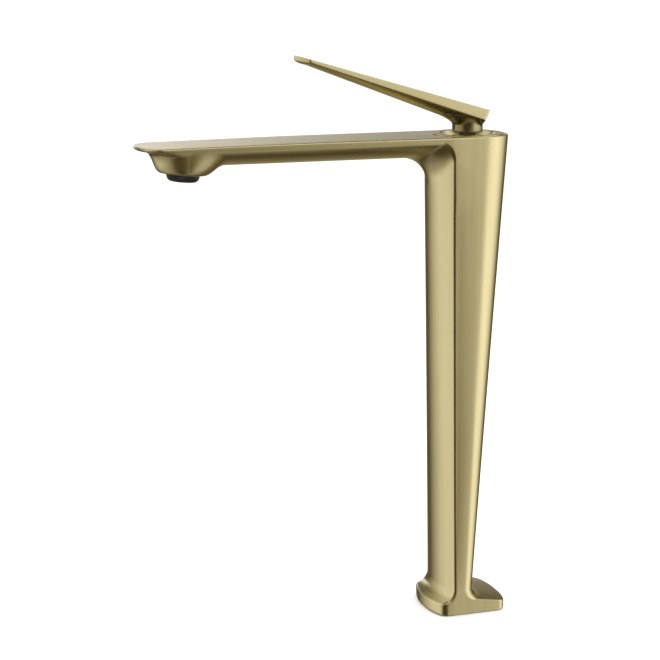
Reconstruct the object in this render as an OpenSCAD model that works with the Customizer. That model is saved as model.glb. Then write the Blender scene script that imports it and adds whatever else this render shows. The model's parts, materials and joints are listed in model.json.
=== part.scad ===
// Tall single-lever mixer tap for a vessel basin: a column with a flared foot and a long flat
// spout in one casting, a blade lever on a round stem, and a 35 mm ceramic-disc cartridge.
// Millimetres. The deck is the plane z = 0, the spout points along -Y, and the lever swivels
// about the Z axis.

/* [Body] */
// Height of the flat top above the deck
body_height = 313; // [300:1:330]
// Width of the body, side to side
body_width = 48; // [48:0.5:51]
// Distance from the lever axis to the front of the foot
foot_front = 27.2; // [26:0.1:29]
// Distance from the lever axis to the back of the foot
foot_back = 24.8; // [23:0.1:27]
// Height of the upright rim of the foot at the back
foot_rim = 6.6; // [6:0.1:7]

/* [Spout] */
// Distance from the lever axis to the tip of the spout
spout_reach = 215.5; // [200:0.5:225]
// Width of the spout at its tip
spout_tip_width = 43; // [42:0.5:46]
// Height of the upright lip along each side of the spout
lip_height = 3.5; // [3:0.1:4]
// Total depth of the spout, from the flat top to the lowest line of the keel
spout_depth = 14; // [14:0.1:15]
// Distance from the lever axis to the middle of the outlet
outlet_reach = 186; // [175:0.5:190]
// Forward tilt of the outlet, in degrees
outlet_tilt = 5; // [0:1:6]

/* [Lever] */
// Distance from the lever axis to the tip of the blade
lever_reach = 115.3; // [100:0.1:125]
// Rise of the blade, in degrees
lever_pitch = 16; // [14:0.5:17]
// Width of the blade over the stem
lever_root_width = 24; // [23:0.5:26]
// Width of the blade at its tip
lever_tip_width = 19; // [17:0.5:20]
// Diameter of the round stem
stem_d = 19.4; // [19:0.1:20]

/* [Trim] */
// Diameter of the trim ring let into the top
trim_d = 46; // [45.5:0.1:46]
// Diameter of the round dish in the trim ring
dish_d = 35; // [34.5:0.1:35]

/* [Hidden] */
$fn = 64;

brushed_gold = [0.78, 0.71, 0.51];
bare_brass = [0.80, 0.66, 0.36];
steel = [0.74, 0.75, 0.76];
copper = [0.78, 0.48, 0.32];
black_plastic = [0.10, 0.10, 0.10];
white_plastic = [0.90, 0.90, 0.87];
grey_plastic = [0.45, 0.47, 0.50];
ceramic = [0.93, 0.92, 0.88];
rubber = [0.13, 0.13, 0.13];

half_width = body_width / 2;
eps = 0.01;

// ---- Column -------------------------------------------------------------------------------
// Each of these is a straight line from the deck to the flat top.
function mix(a, b, t) = a + (b - a) * t;
function corner_y(z) = mix(-13.8, -18.5, z / body_height);
function front_bow(z) = mix(5, 8, z / body_height);
function side_end_y(z) = mix(-7.4, 3, z / body_height);
function back_depth(z) = mix(9.2, 22, z / body_height);

// Foot: a fillet from the upright column, then a gentle slope out to the rim.
flare_top = 17.4;
front_fillet = 9;
front_slope = 17;
back_fillet = 8.5;
back_slope = 8;
front_spread = foot_front + corner_y(0) - front_bow(0);
foot_back_bow = 7;
back_spread = foot_back - foot_back_bow - side_end_y(0);
function flare(z, fillet, slope, spread) =
    let (drop = max(0, flare_top - z), turn = 90 - slope)
    let (fillet_drop = fillet * sin(turn), fillet_out = fillet * (1 - cos(turn)))
    drop <= fillet_drop
        ? fillet - sqrt(fillet * fillet - drop * drop)
        : min(spread, fillet_out + (drop - fillet_drop) / tan(slope));
function front_flare(z) = flare(z, front_fillet, front_slope, front_spread);
function back_flare(z) = flare(z, back_fillet, back_slope, back_spread);
function back_bow(z) = mix(back_depth(z), foot_back_bow, back_flare(z) / back_spread);

// How far a circular arc of the given half chord and bow stands proud of its chord at x.
function arc_bow(x, half_chord, bow) =
    let (radius = (half_chord * half_chord + bow * bow) / (2 * bow))
    sqrt(radius * radius - x * x) - (radius - bow);

// ---- Rings --------------------------------------------------------------------------------
// The casting is one loft. Every ring has a front curve from -X to +X, which becomes the
// underside of the spout, and a back curve from +X to -X, which becomes the flat top.
curve_steps = 16;
front_across = [for (i = [0:curve_steps]) 2 * i / curve_steps - 1];
back_angles = [for (i = [0:curve_steps]) 180 * i / curve_steps];
squareness = 0.86;
function squared(c) = sign(c) * pow(abs(c), squareness);

function front_point(t, z) =
    let (bow = arc_bow(t * half_width, half_width, front_bow(z)))
    [t * half_width, corner_y(z) - front_flare(z) - bow, z];
function back_point(a, z) =
    [half_width * squared(cos(a)), side_end_y(z) + back_flare(z) + back_bow(z) * squared(sin(a)), z];
function column_ring(z) = concat(
    [for (t = front_across) front_point(t, z)],
    [for (a = back_angles) back_point(a, z)]);

// ---- Spout --------------------------------------------------------------------------------
lip_z = body_height - lip_height;
keel_depth = spout_depth - lip_height;
spout_root_y = corner_y(body_height);
tip_bow = 6.5;
tip_corner_y = tip_bow - spout_reach;
tip_thickness = 3;
function spout_half_width(y) =
    mix(half_width, spout_tip_width / 2,
        sin(90 * max(0, min(1, (spout_root_y - y) / (spout_root_y - tip_corner_y)))));
function underside_z(t, y, depth) =
    lip_z - arc_bow(t * spout_half_width(y), spout_half_width(y), depth);
function spout_ring(y, depth) = concat(
    [for (t = front_across) [t * spout_half_width(y), y, underside_z(t, y, depth)]],
    [for (a = back_angles) [spout_half_width(y) * squared(cos(a)), y, body_height]]);

// The inside corner between the spout and the column is rounder in the middle than at the sides.
corner_steps = 10;
back_steps = 5;
fan_start_z = 283;
fan_end_y = -38;
function fillet_reach(t) = mix(19, 8.5, t * t);
function fillet_rise(t) = mix(19, 11, t * t);
function fan_front(t, step) =
    let (turn = 90 * step / corner_steps)
    let (z = underside_z(t, spout_root_y, keel_depth) - fillet_rise(t) * (1 - sin(turn)))
    let (y = front_point(t, z)[1] - fillet_reach(t) * (1 - cos(turn)))
    [t * spout_half_width(y), y, z];
function fan_top(a, step) =
    let (start = back_point(a, body_height))
    let (y = mix(start[1], fan_end_y, (step - back_steps) / (corner_steps - back_steps)))
    [spout_half_width(y) * squared(cos(a)), y, body_height];
function fan_back(a, step) =
    step <= back_steps
        ? back_point(a, mix(fan_start_z, body_height, step / back_steps))
        : fan_top(a, step);
function fan_ring(step) = concat(
    [for (t = front_across) fan_front(t, step)],
    [for (a = back_angles) fan_back(a, step)]);

// The tip ring follows the bowed end of the spout.
tip_half_width = spout_tip_width / 2;
function tip_y(x) = tip_corner_y - arc_bow(x, tip_half_width, tip_bow);
tip_ring = concat(
    [for (t = front_across)
        let (x = t * tip_half_width)
        [x, tip_y(x), body_height - tip_thickness]],
    [for (t = front_across)
        let (x = t * tip_half_width)
        [-x, tip_y(x), body_height]]);

foot_levels = [0, foot_rim, 7.4, 8.2, 8.8, 9.3, 10.2, 11.5, 13.3, 15.4, flare_top];
casting_rings = concat(
    [for (z = foot_levels) column_ring(z)],
    [column_ring(150), column_ring(262)],
    [for (step = [0:corner_steps]) fan_ring(step)],
    [for (y = [-70, -115, -160, -192]) spout_ring(y, keel_depth)],
    [spout_ring(-200, keel_depth * 0.55), spout_ring(-206, keel_depth * 0.15)],
    [tip_ring]);

// Skin through a list of rings with equal counts, front curve first. Both ends are closed by
// pairing the front curve with the back curve.
module ring_loft(rings) {
    count = len(rings[0]);
    half = count / 2;
    last = (len(rings) - 1) * count;
    points = [for (ring = rings) each ring];
    sides = [for (r = [0:len(rings) - 2], i = [0:count - 1])
        let (a = r * count + i, b = r * count + (i + 1) % count)
        each [[a, a + count, b + count], [a, b + count, b]]];
    start_cap = [for (i = [0:half - 2])
        let (upper = count - 1 - i)
        each [[i, upper - 1, upper], [i, i + 1, upper - 1]]];
    end_cap = [for (i = [0:half - 2])
        let (lower = last + i, upper = last + count - 1 - i)
        each [[lower, upper, upper - 1], [lower, upper - 1, lower + 1]]];
    polyhedron(points, concat(start_cap, sides, end_cap), convexity = 8);
}

// ---- Places shared by several pieces ------------------------------------------------------
// Head stack, measured down from the flat top.
trim_t = 1.8;
dish_floor_z = body_height - 4.7;
pivot_z = body_height - 14;
nut_top_z = body_height - 7.6;
shoulder_z = body_height - 13.5;
seat_z = body_height - 43;
bore_r = 17.6;
nut_bore_r = 19.05;

// Foot: plate and block that close the casting from below.
gasket_t = 1.5;
plate_t = 3;
plate_top_z = gasket_t + plate_t;
plate_size = [40, 34.4];
plate_y = -4.3;
block_height = 14;
inlet_x = 10;
inlet_y = -6.5;
screw_spots = [for (x = [-15, 15], y = [-17.3, 8.6]) [x, y]];
stud_tap_r = 3.4;
inlet_tap_r = 4.5;
inlet_depth = 9;
inlet_bore_r = 3;
pocket_gap = 0.2;
block_gap = 0.3;

// Countersunk screws that hold the plate up into the casting.
screw_shank_r = 1.62;
screw_head_r = 3.7;
screw_head_t = 1.9;
screw_length = 5.8;
screw_pilot_r = 1.65;
screw_pilot_depth = 3.2;
screw_hole_r = 2.1;
countersink_r = 3.9;
hex_key_r = 1.25;

// Riser tubes run straight up from the block to the head, in sockets with a little play.
tube_r = 4;
socket_r = tube_r + 0.1;
tube_wall = 1;
tube_end_gap = 0.2;
tube_bottom_z = 13.5;
tube_top_z = seat_z - 8;
port_r = 2.6;
outlet_port = [0, -9.5];
port_spots = [[inlet_x, inlet_y], [-inlet_x, inlet_y], outlet_port];

module aerator_frame() {
    translate([0, -outlet_reach, body_height - 18.4])
        rotate([-outlet_tilt, 0, 0])
            children();
}

module ring(outer_r, inner_r, height) {
    difference() {
        cylinder(r = outer_r, h = height);
        translate([0, 0, -eps])
            cylinder(r = inner_r, h = height + 2 * eps);
    }
}

// ---- Casting ------------------------------------------------------------------------------
aerator_bore_r = 10.3;
aerator_bore_depth = 11;
module outlet_boss() {
    aerator_frame()
        rotate_extrude()
            polygon([
                [0, 0], [12.4, 0], [14.8, 1], [16.2, 2.6], [17.1, 4.5], [18.3, 7.5],
                [19, 10.5], [19.3, 13.2], [0, 14.5]]);
}

// Space inside the column, from the plate up to the bulkhead under the cartridge. Its plan is an
// octagon that follows the bow of the front and of the back, one wall inside them.
cavity_top = 252;
cavity_half = 20;
cavity_wall = 2.6;
cavity_x = [-cavity_half, -cavity_half / 2, cavity_half / 2, cavity_half];
// Share of the front's bow that the octagon's front side stands out by.
cavity_bow_share = 0.75;
function cavity_front_y(x, z) =
    corner_y(z) + cavity_wall - front_bow(z) * (abs(x) < cavity_half ? cavity_bow_share : 0);
function cavity_back_y(x, z) =
    let (a = acos(pow(abs(x) / half_width, 1 / squareness)))
    side_end_y(z) + back_depth(z) * squared(sin(a)) - cavity_wall;
function cavity_plan(z) = concat(
    [for (x = cavity_x) [x, cavity_front_y(x, z), z]],
    [for (x = cavity_x) [-x, cavity_back_y(x, z), z]]);
module column_cavity() {
    ring_loft([cavity_plan(plate_top_z - eps), cavity_plan(cavity_top)]);
}

module foot_pocket() {
    translate([-plate_size[0] / 2 - pocket_gap, plate_y - plate_size[1] / 2 - pocket_gap, -eps])
        cube([plate_size[0] + 2 * pocket_gap, plate_size[1] + 2 * pocket_gap, plate_top_z + eps]);
    for (spot = screw_spots)
        translate([spot[0], spot[1], plate_top_z - eps])
            cylinder(r = screw_pilot_r, h = screw_pilot_depth);
}

module head_bores() {
    translate([0, 0, seat_z])
        cylinder(r = bore_r, h = body_height);
    translate([0, 0, shoulder_z])
        cylinder(r = nut_bore_r, h = body_height);
    translate([0, 0, body_height - trim_t - 0.1])
        cylinder(r = trim_d / 2 + 0.15, h = 10);
}

// Mixed water leaves the cartridge forwards, rises in front of it, slants up and runs out along
// the spout.
passage_width = 7;
passage_z = seat_z - 7;
riser_slot = [15, 3.5];
riser_slot_y = -22.8;
slant_turn = 33;
slant_width = 13;
slant_length = 22.4;
channel_size = [16, 6];
channel_back_y = -31;
channel_z = body_height - 10.4;
module waterways() {
    for (x = [-inlet_x, inlet_x])
        translate([x, inlet_y, 0]) {
            translate([0, 0, cavity_top - 1])
                cylinder(r = socket_r, h = tube_top_z - cavity_top + 1);
            translate([0, 0, tube_top_z - 1])
                cylinder(r = port_r, h = 10);
        }
    translate([outlet_port[0], outlet_port[1], passage_z])
        cylinder(r = passage_width / 2, h = 8);
    translate([-passage_width / 2, riser_slot_y, passage_z])
        cube([passage_width, outlet_port[1] - riser_slot_y, 5]);
    translate([-riser_slot[0] / 2, riser_slot_y, passage_z])
        cube([riser_slot[0], riser_slot[1], 24]);
    translate([0, riser_slot_y, seat_z + 14])
        rotate([slant_turn, 0, 0])
            translate([-slant_width / 2, 0, 0])
                cube([slant_width, riser_slot[1], slant_length]);
    translate([-channel_size[0] / 2, -outlet_reach, channel_z])
        cube([channel_size[0], outlet_reach + channel_back_y, channel_size[1]]);
    aerator_frame()
        translate([0, 0, -1])
            cylinder(r = aerator_bore_r, h = aerator_bore_depth + 1);
}

module body_casting() {
    color(brushed_gold)
        difference() {
            union() {
                ring_loft(casting_rings);
                outlet_boss();
            }
            column_cavity();
            foot_pocket();
            head_bores();
            waterways();
        }
}

// ---- Foot pieces --------------------------------------------------------------------------
module foot_holes(inlet_r, stud_r, height) {
    for (x = [-inlet_x, inlet_x])
        translate([x, inlet_y, -eps])
            cylinder(r = inlet_r, h = height);
    translate([0, inlet_y, -eps])
        cylinder(r = stud_r, h = height);
}

module base_insert() {
    color(bare_brass)
        difference() {
            union() {
                translate([-plate_size[0] / 2, plate_y - plate_size[1] / 2, gasket_t])
                    cube([plate_size[0], plate_size[1], plate_t]);
                translate([0, 0, plate_top_z - eps])
                    linear_extrude(block_height)
                        offset(delta = -block_gap)
                            polygon([for (p = cavity_plan(plate_top_z)) [p[0], p[1]]]);
            }
            translate([0, 0, gasket_t])
                foot_holes(inlet_tap_r, stud_tap_r, inlet_depth);
            for (x = [-inlet_x, inlet_x])
                translate([x, inlet_y, 0]) {
                    translate([0, 0, gasket_t])
                        cylinder(r = inlet_bore_r, h = block_height);
                    translate([0, 0, tube_bottom_z])
                        cylinder(r = socket_r, h = 10);
                }
            for (spot = screw_spots)
                translate([spot[0], spot[1], gasket_t - eps]) {
                    cylinder(r = screw_hole_r, h = plate_t + 1);
                    cylinder(r1 = countersink_r, r2 = screw_hole_r, h = screw_head_t);
                }
        }
}

module base_insert_screws() {
    color(steel)
        for (spot = screw_spots)
            translate([spot[0], spot[1], gasket_t])
                difference() {
                    union() {
                        cylinder(r1 = screw_head_r, r2 = 1.95, h = screw_head_t);
                        cylinder(r = screw_shank_r, h = screw_length);
                    }
                    translate([0, 0, -eps])
                        cylinder(r = hex_key_r, h = 1.3, $fn = 6);
                }
}

gasket_inlet_r = 6.2;
gasket_stud_r = 4.6;
module base_gasket() {
    color(rubber)
        difference() {
            translate([-plate_size[0] / 2, plate_y - plate_size[1] / 2, 0])
                cube([plate_size[0], plate_size[1], gasket_t]);
            foot_holes(gasket_inlet_r, gasket_stud_r, gasket_t + 1);
        }
}

// ---- Risers -------------------------------------------------------------------------------
module riser_tube(x) {
    color(copper)
        translate([x, inlet_y, tube_bottom_z + tube_end_gap])
            ring(tube_r, tube_r - tube_wall, tube_top_z - tube_bottom_z - 2 * tube_end_gap);
}

module hot_riser_tube() {
    riser_tube(-inlet_x);
}

module cold_riser_tube() {
    riser_tube(inlet_x);
}

// One ring seals each end of each tube, against the mouth of its socket.
ring_t = 1.2;
ring_levels = [plate_top_z + block_height + 0.05, cavity_top - ring_t - 0.05];
module riser_o_rings() {
    color(rubber)
        for (x = [-inlet_x, inlet_x], z = ring_levels)
            translate([x, inlet_y, z])
                ring(tube_r + 1.3, tube_r + 0.02, ring_t);
}

// ---- Cartridge ----------------------------------------------------------------------------
base_r = 17.2;
fixed_disc_r = 15;
fixed_disc_t = 3.5;
moving_disc_r = 12.2;
moving_disc_t = 3;
carrier_t = 5.6;
base_bottom_z = seat_z + 0.4;
disc_z = seat_z + 6.3;
moving_z = disc_z + fixed_disc_t + 0.05;
carrier_z = moving_z + moving_disc_t;
guide_z = carrier_z + 6.2;
tip_ball_z = carrier_z + 3.2;
lift_travel = 4.9;
carrier_y = lift_travel / 2;

module port_holes(radius, height) {
    for (spot = port_spots)
        translate([spot[0], spot[1], -eps])
            cylinder(r = radius, h = height + 2 * eps);
}

module cartridge_seals() {
    color(rubber)
        for (spot = port_spots)
            translate([spot[0], spot[1], seat_z])
                ring(4.2, 3, 1.2);
}

module cartridge_base() {
    color(white_plastic)
        translate([0, 0, base_bottom_z])
            difference() {
                cylinder(r = base_r, h = disc_z - base_bottom_z);
                port_holes(port_r, disc_z - base_bottom_z);
                port_holes(4.3, 0.8);
            }
}

module fixed_disc() {
    color(ceramic)
        translate([0, 0, disc_z])
            difference() {
                cylinder(r = fixed_disc_r, h = fixed_disc_t);
                port_holes(port_r, fixed_disc_t);
            }
}

module moving_disc() {
    color(ceramic)
        translate([0, carrier_y, moving_z])
            difference() {
                cylinder(r = moving_disc_r, h = moving_disc_t);
                translate([0, -4.6, -eps])
                    cylinder(r = 6.2, h = 1.8);
            }
}

module disc_carrier() {
    color(grey_plastic)
        difference() {
            translate([0, carrier_y, carrier_z])
                cylinder(r = moving_disc_r, h = carrier_t);
            translate([-3, -3, carrier_z + 0.4])
                cube([6, 6, 8]);
        }
}

housing_inner_r = 15.3;
guide_flange_r = 14.2;
guide_neck_r = 10.4;
guide_step_z = pivot_z - 2.3;
housing_roof_z = guide_step_z + 1;
module cartridge_housing() {
    color(white_plastic)
        difference() {
            union() {
                translate([0, 0, disc_z])
                    cylinder(r = 17.4, h = shoulder_z - disc_z);
                translate([0, 0, shoulder_z - eps])
                    cylinder(r = 12.3, h = 6);
            }
            translate([0, 0, disc_z - eps])
                cylinder(r = housing_inner_r, h = housing_roof_z - disc_z);
            translate([0, 0, disc_z])
                cylinder(r = guide_neck_r + 0.3, h = 40);
        }
}

module glide_ring() {
    color(black_plastic)
        translate([0, 0, guide_step_z + 0.1])
            ring(guide_flange_r, guide_neck_r + 0.4, 0.8);
}

spindle_size = 7.8;
pin_r = 1.5;
pin_length = 20;
module swivel_guide() {
    color(grey_plastic)
        difference() {
            union() {
                translate([0, 0, guide_z])
                    cylinder(r = guide_flange_r, h = guide_step_z - guide_z);
                translate([0, 0, guide_step_z - eps])
                    cylinder(r = guide_neck_r, h = nut_top_z - guide_step_z);
            }
            translate([-spindle_size / 2 - 0.3, -9, guide_z - 1])
                cube([spindle_size + 0.6, 18, 40]);
            translate([-pin_length, 0, pivot_z])
                rotate([0, 90, 0])
                    cylinder(r = pin_r + 0.02, h = 2 * pin_length);
        }
}

module pivot_pin() {
    color(steel)
        translate([-pin_length / 2, 0, pivot_z])
            rotate([0, 90, 0])
                cylinder(r = pin_r, h = pin_length);
}

spindle_top_z = body_height + 12;
stem_bottom_z = body_height + 1.1;
module spindle() {
    color(bare_brass)
        difference() {
            union() {
                translate([-spindle_size / 2, -spindle_size / 2, guide_z + 2])
                    cube([spindle_size, spindle_size, spindle_top_z - guide_z - 2]);
                translate([-2.4, -1.8, tip_ball_z])
                    cube([4.8, 3.6, guide_z + 2.5 - tip_ball_z]);
                translate([0, 0, tip_ball_z])
                    sphere(r = 2.6);
            }
            translate([-10, 0, pivot_z])
                rotate([0, 90, 0])
                    cylinder(r = pin_r + 0.05, h = 20);
        }
}

nut_hole_r = 12.6;
module retaining_nut() {
    color(bare_brass)
        translate([0, 0, shoulder_z + 0.05])
            difference() {
                ring(nut_bore_r - 0.05, nut_hole_r, nut_top_z - shoulder_z - 0.05);
                for (turn = [0:60:300])
                    rotate([0, 0, turn])
                        translate([15.8, -1.5, 3.4])
                            cube([6, 3, 5]);
            }
}

// ---- Trim ---------------------------------------------------------------------------------
trim_wall_r = 18.8;
// The ring stands this much above the flat top.
trim_rise = 0.4;
// The dish is a cone that narrows by this much in radius, down to its floor.
dish_slope = 2.2;
dish_depth = body_height + trim_rise - dish_floor_z;
dish_hole_r = 12.6;
module trim_ring() {
    color(brushed_gold)
        difference() {
            union() {
                translate([0, 0, body_height - trim_t])
                    cylinder(r = trim_d / 2, h = trim_t + trim_rise);
                translate([0, 0, dish_floor_z - 1.2])
                    cylinder(r = trim_wall_r, h = 4.5);
            }
            translate([0, 0, dish_floor_z])
                cylinder(r1 = dish_d / 2 - dish_slope, r2 = dish_d / 2, h = dish_depth + eps);
            translate([0, 0, dish_floor_z - 5])
                cylinder(r = dish_hole_r, h = 10);
            translate([0, 0, dish_floor_z + 0.5])
                difference() {
                    cylinder(r = trim_wall_r + 1, h = 1.2);
                    translate([0, 0, -1])
                        cylinder(r = trim_wall_r - 0.7, h = 4);
                }
        }
}

module trim_o_ring() {
    color(rubber)
        translate([0, 0, dish_floor_z + 0.55])
            ring(nut_bore_r - 0.01, trim_wall_r - 0.68, 1.1);
}

// ---- Lever --------------------------------------------------------------------------------
blade_back_y = 11;
blade_back_rake = 0.5;
blade_back_bow = 1.2;
blade_end_bow = 7.4;
blade_corner_y = blade_end_bow - lever_reach;
blade_top_at_axis = body_height + 18.3;
blade_steps = 10;
blade_across = [for (i = [0:blade_steps]) 2 * i / blade_steps - 1];
function along_blade(y) = max(0, min(1, (blade_back_y - y) / (blade_back_y - blade_corner_y)));
function blade_half(y) = mix(lever_root_width, lever_tip_width, along_blade(y)) / 2;
function blade_top(y) = blade_top_at_axis - y * tan(lever_pitch);
function blade_side(y) = mix(7.4, 2.2, along_blade(y));
// The keel deepens from the back up to its full depth over the stem, then thins towards the tip.
function blade_keel(y) = min(mix(7, 1.8, along_blade(y)), 4.2 + (blade_back_y - y) * 0.25);
function blade_under(t, y) =
    blade_top(y) - blade_side(y) - arc_bow(t * blade_half(y), blade_half(y), blade_keel(y));
function blade_ring(y) = concat(
    [for (t = blade_across) [t * blade_half(y), y, blade_under(t, y)]],
    [for (t = blade_across) [-t * blade_half(y), y, blade_top(y)]]);
function blade_back(t, z) =
    let (drop = blade_top(blade_back_y) - z)
    let (y = blade_back_y - blade_back_rake * drop + blade_back_bow * (1 - t * t))
    [t * blade_half(blade_back_y), y, z];
blade_back_ring = concat(
    [for (t = blade_across) blade_back(t, blade_under(t, blade_back_y))],
    [for (t = blade_across) blade_back(-t, blade_top(blade_back_y + blade_back_bow * (1 - t * t)))]);
// The tip is a blunt point: two almost straight edges that meet in a small round apex.
blade_apex = 2.6;
function point_rise(x) = sqrt(x * x + blade_apex * blade_apex) - blade_apex;
function blade_end_y(x) =
    blade_corner_y - blade_end_bow * (1 - point_rise(x) / point_rise(lever_tip_width / 2));
blade_end_ring = concat(
    [for (t = blade_across)
        let (x = t * lever_tip_width / 2)
        [x, blade_end_y(x), blade_under(t, blade_end_y(x))]],
    [for (t = blade_across)
        let (x = t * lever_tip_width / 2)
        [-x, blade_end_y(x), blade_top(blade_end_y(x))]]);

module blade() {
    ring_loft(concat(
        [blade_back_ring],
        [for (y = [-2, -20, -50, -80, blade_corner_y + 1]) blade_ring(y)],
        [blade_end_ring]));
}

// Blend from the round stem out to the underside of the blade.
neck_z = body_height + 6;
module neck() {
    hull() {
        translate([0, 0, neck_z - 0.5])
            cylinder(r = stem_d / 2, h = 0.5, $fn = 32);
        translate([0, -4, blade_top(-4) - 9])
            rotate([-lever_pitch, 0, 0])
                translate([-stem_d / 2 - 0.8, -14, 0])
                    cube([stem_d + 1.6, 24, 1]);
    }
}

module lever_handle() {
    color(brushed_gold)
        difference() {
            union() {
                blade();
                neck();
                translate([0, 0, stem_bottom_z])
                    cylinder(r = stem_d / 2, h = 10);
            }
            translate([-spindle_size / 2 - 0.05, -spindle_size / 2 - 0.05, stem_bottom_z - 5])
                cube([spindle_size + 0.1, spindle_size + 0.1, spindle_top_z - stem_bottom_z + 5.2]);
            translate([0, 0, screw_z])
                rotate([90, 0, 0])
                    cylinder(r = screw_r + 0.02, h = 20);
        }
}

screw_z = body_height + 4.6;
screw_r = 2.4;
module set_screw() {
    color(steel)
        difference() {
            translate([0, -spindle_size / 2 - 0.06, screw_z])
                rotate([90, 0, 0])
                    cylinder(r = screw_r, h = 3.6);
            translate([0, -spindle_size / 2 - 1.8, screw_z])
                rotate([90, 0, 0])
                    cylinder(r = hex_key_r, h = 3, $fn = 6);
        }
}

module index_plug() {
    color(black_plastic)
        translate([0, -7.9, screw_z])
            rotate([90, 0, 0])
                cylinder(r = screw_r, h = stem_d / 2 - 7.9 - 0.25);
}

// ---- Aerator ------------------------------------------------------------------------------
cage_r = 10.2;
cage_inner_r = 8.6;
cage_drop = 4.2;
cage_depth = 9.3;
core_r = 8.55;
screen_r = 7.4;
module aerator_gasket() {
    color(rubber)
        aerator_frame()
            translate([0, 0, cage_depth + 0.1])
                ring(cage_r - 0.1, screen_r, 1.5);
}

module aerator_housing() {
    color(black_plastic)
        aerator_frame()
            difference() {
                translate([0, 0, -cage_drop])
                    cylinder(r = cage_r, h = cage_depth + cage_drop);
                translate([0, 0, -cage_drop - 1])
                    cylinder(r = cage_inner_r, h = 20);
                for (turn = [0:12:348])
                    rotate([0, 0, turn])
                        translate([cage_r - 0.45, -0.5, -cage_drop - 1])
                            cube([2, 1, cage_drop]);
            }
}

module aerator_core() {
    color(grey_plastic)
        aerator_frame()
            translate([0, 0, 1])
                difference() {
                    cylinder(r = core_r, h = 6);
                    for (spoke = [0:45:315])
                        rotate([0, 0, spoke])
                            translate([5.6, 0, -1])
                                cylinder(r = 1.5, h = 10);
                    translate([0, 0, -1])
                        cylinder(r = 2, h = 10);
                }
}

module aerator_filter() {
    color(white_plastic)
        aerator_frame()
            translate([0, 0, 7.1])
                difference() {
                    cylinder(r = 7.2, h = 1.4);
                    for (x = [-4:2:4], y = [-4:2:4])
                        translate([x - 0.6, y - 0.6, -1])
                            cube([1.2, 1.2, 4]);
                }
}

screen_pitch = 1.8;
screen_wire = 0.6;
module aerator_screen() {
    color(black_plastic)
        aerator_frame()
            translate([0, 0, -cage_drop + 0.5]) {
                ring(core_r, screen_r, 1.2);
                for (i = [-4:4])
                    let (place = i * screen_pitch, reach = sqrt(60 - place * place)) {
                        translate([place - screen_wire / 2, -reach, 0])
                            cube([screen_wire, 2 * reach, screen_wire]);
                        translate([-reach, place - screen_wire / 2, screen_wire - 0.05])
                            cube([2 * reach, screen_wire, screen_wire]);
                    }
            }
}

body_casting();
base_insert();
base_insert_screws();
base_gasket();
hot_riser_tube();
cold_riser_tube();
riser_o_rings();
cartridge_seals();
cartridge_base();
fixed_disc();
moving_disc();
disc_carrier();
cartridge_housing();
swivel_guide();
glide_ring();
pivot_pin();
spindle();
retaining_nut();
trim_ring();
trim_o_ring();
lever_handle();
set_screw();
index_plug();
aerator_gasket();
aerator_housing();
aerator_core();
aerator_filter();
aerator_screen();
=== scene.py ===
"""Studio scene of a tall single-lever basin mixer in brushed gold."""

import json
import math

import bmesh
import bpy
from mathutils import Matrix, Vector


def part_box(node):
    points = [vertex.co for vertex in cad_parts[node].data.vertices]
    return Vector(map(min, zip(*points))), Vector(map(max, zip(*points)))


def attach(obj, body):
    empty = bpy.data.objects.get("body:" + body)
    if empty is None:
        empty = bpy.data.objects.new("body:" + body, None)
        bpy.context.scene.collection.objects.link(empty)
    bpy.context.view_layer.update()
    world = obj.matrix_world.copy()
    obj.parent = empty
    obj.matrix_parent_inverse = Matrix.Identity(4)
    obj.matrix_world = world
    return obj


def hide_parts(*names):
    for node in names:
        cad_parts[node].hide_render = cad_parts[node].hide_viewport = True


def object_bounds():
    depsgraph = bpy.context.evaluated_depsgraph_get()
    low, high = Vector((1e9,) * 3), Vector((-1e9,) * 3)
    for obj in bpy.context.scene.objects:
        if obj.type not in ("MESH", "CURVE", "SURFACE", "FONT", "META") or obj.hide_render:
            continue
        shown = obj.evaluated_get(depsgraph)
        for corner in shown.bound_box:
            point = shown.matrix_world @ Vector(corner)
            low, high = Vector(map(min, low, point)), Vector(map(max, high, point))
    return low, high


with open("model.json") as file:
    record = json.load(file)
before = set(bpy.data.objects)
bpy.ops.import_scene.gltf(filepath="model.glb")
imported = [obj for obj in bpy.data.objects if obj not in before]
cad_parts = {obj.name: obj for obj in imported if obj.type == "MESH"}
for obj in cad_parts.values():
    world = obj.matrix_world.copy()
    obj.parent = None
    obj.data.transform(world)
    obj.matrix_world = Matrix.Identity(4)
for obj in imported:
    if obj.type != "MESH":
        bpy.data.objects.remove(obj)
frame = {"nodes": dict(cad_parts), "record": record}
cad_low, cad_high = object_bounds()
MM = 0.001


# ---- Camera --------------------------------------------------------------------------------
CAMERA_AZIMUTH, CAMERA_ELEVATION = 71.16, 11.97
CAMERA_DISTANCE = 1.1769
CAMERA_LENS = 101.5
AIM_OFFSET = Vector((0, 0.0032, 0.0094))


def add_camera():
    azimuth, elevation = math.radians(CAMERA_AZIMUTH), math.radians(CAMERA_ELEVATION)
    aim = (cad_low + cad_high) / 2 + AIM_OFFSET
    back = Vector((
        math.sin(azimuth) * math.cos(elevation),
        -math.cos(azimuth) * math.cos(elevation),
        math.sin(elevation)))
    data = bpy.data.cameras.new("camera")
    data.lens = CAMERA_LENS
    data.clip_start, data.clip_end = 0.05, 50
    camera = bpy.data.objects.new("camera", data)
    bpy.context.scene.collection.objects.link(camera)
    camera.location = aim + back * CAMERA_DISTANCE
    camera.rotation_mode = "QUATERNION"
    camera.rotation_quaternion = (-back).to_track_quat("-Z", "Y")
    bpy.context.scene.camera = camera


add_camera()


# ---- Small maths ---------------------------------------------------------------------------
def mix(a, b, t):
    return a + (b - a) * t


def clamp(t):
    return max(0.0, min(1.0, t))


def smooth(low, high, value):
    t = clamp((value - low) / (high - low))
    return t * t * (3 - 2 * t)


def steps(low, high, count):
    return [mix(low, high, i / count) for i in range(count + 1)]


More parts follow.
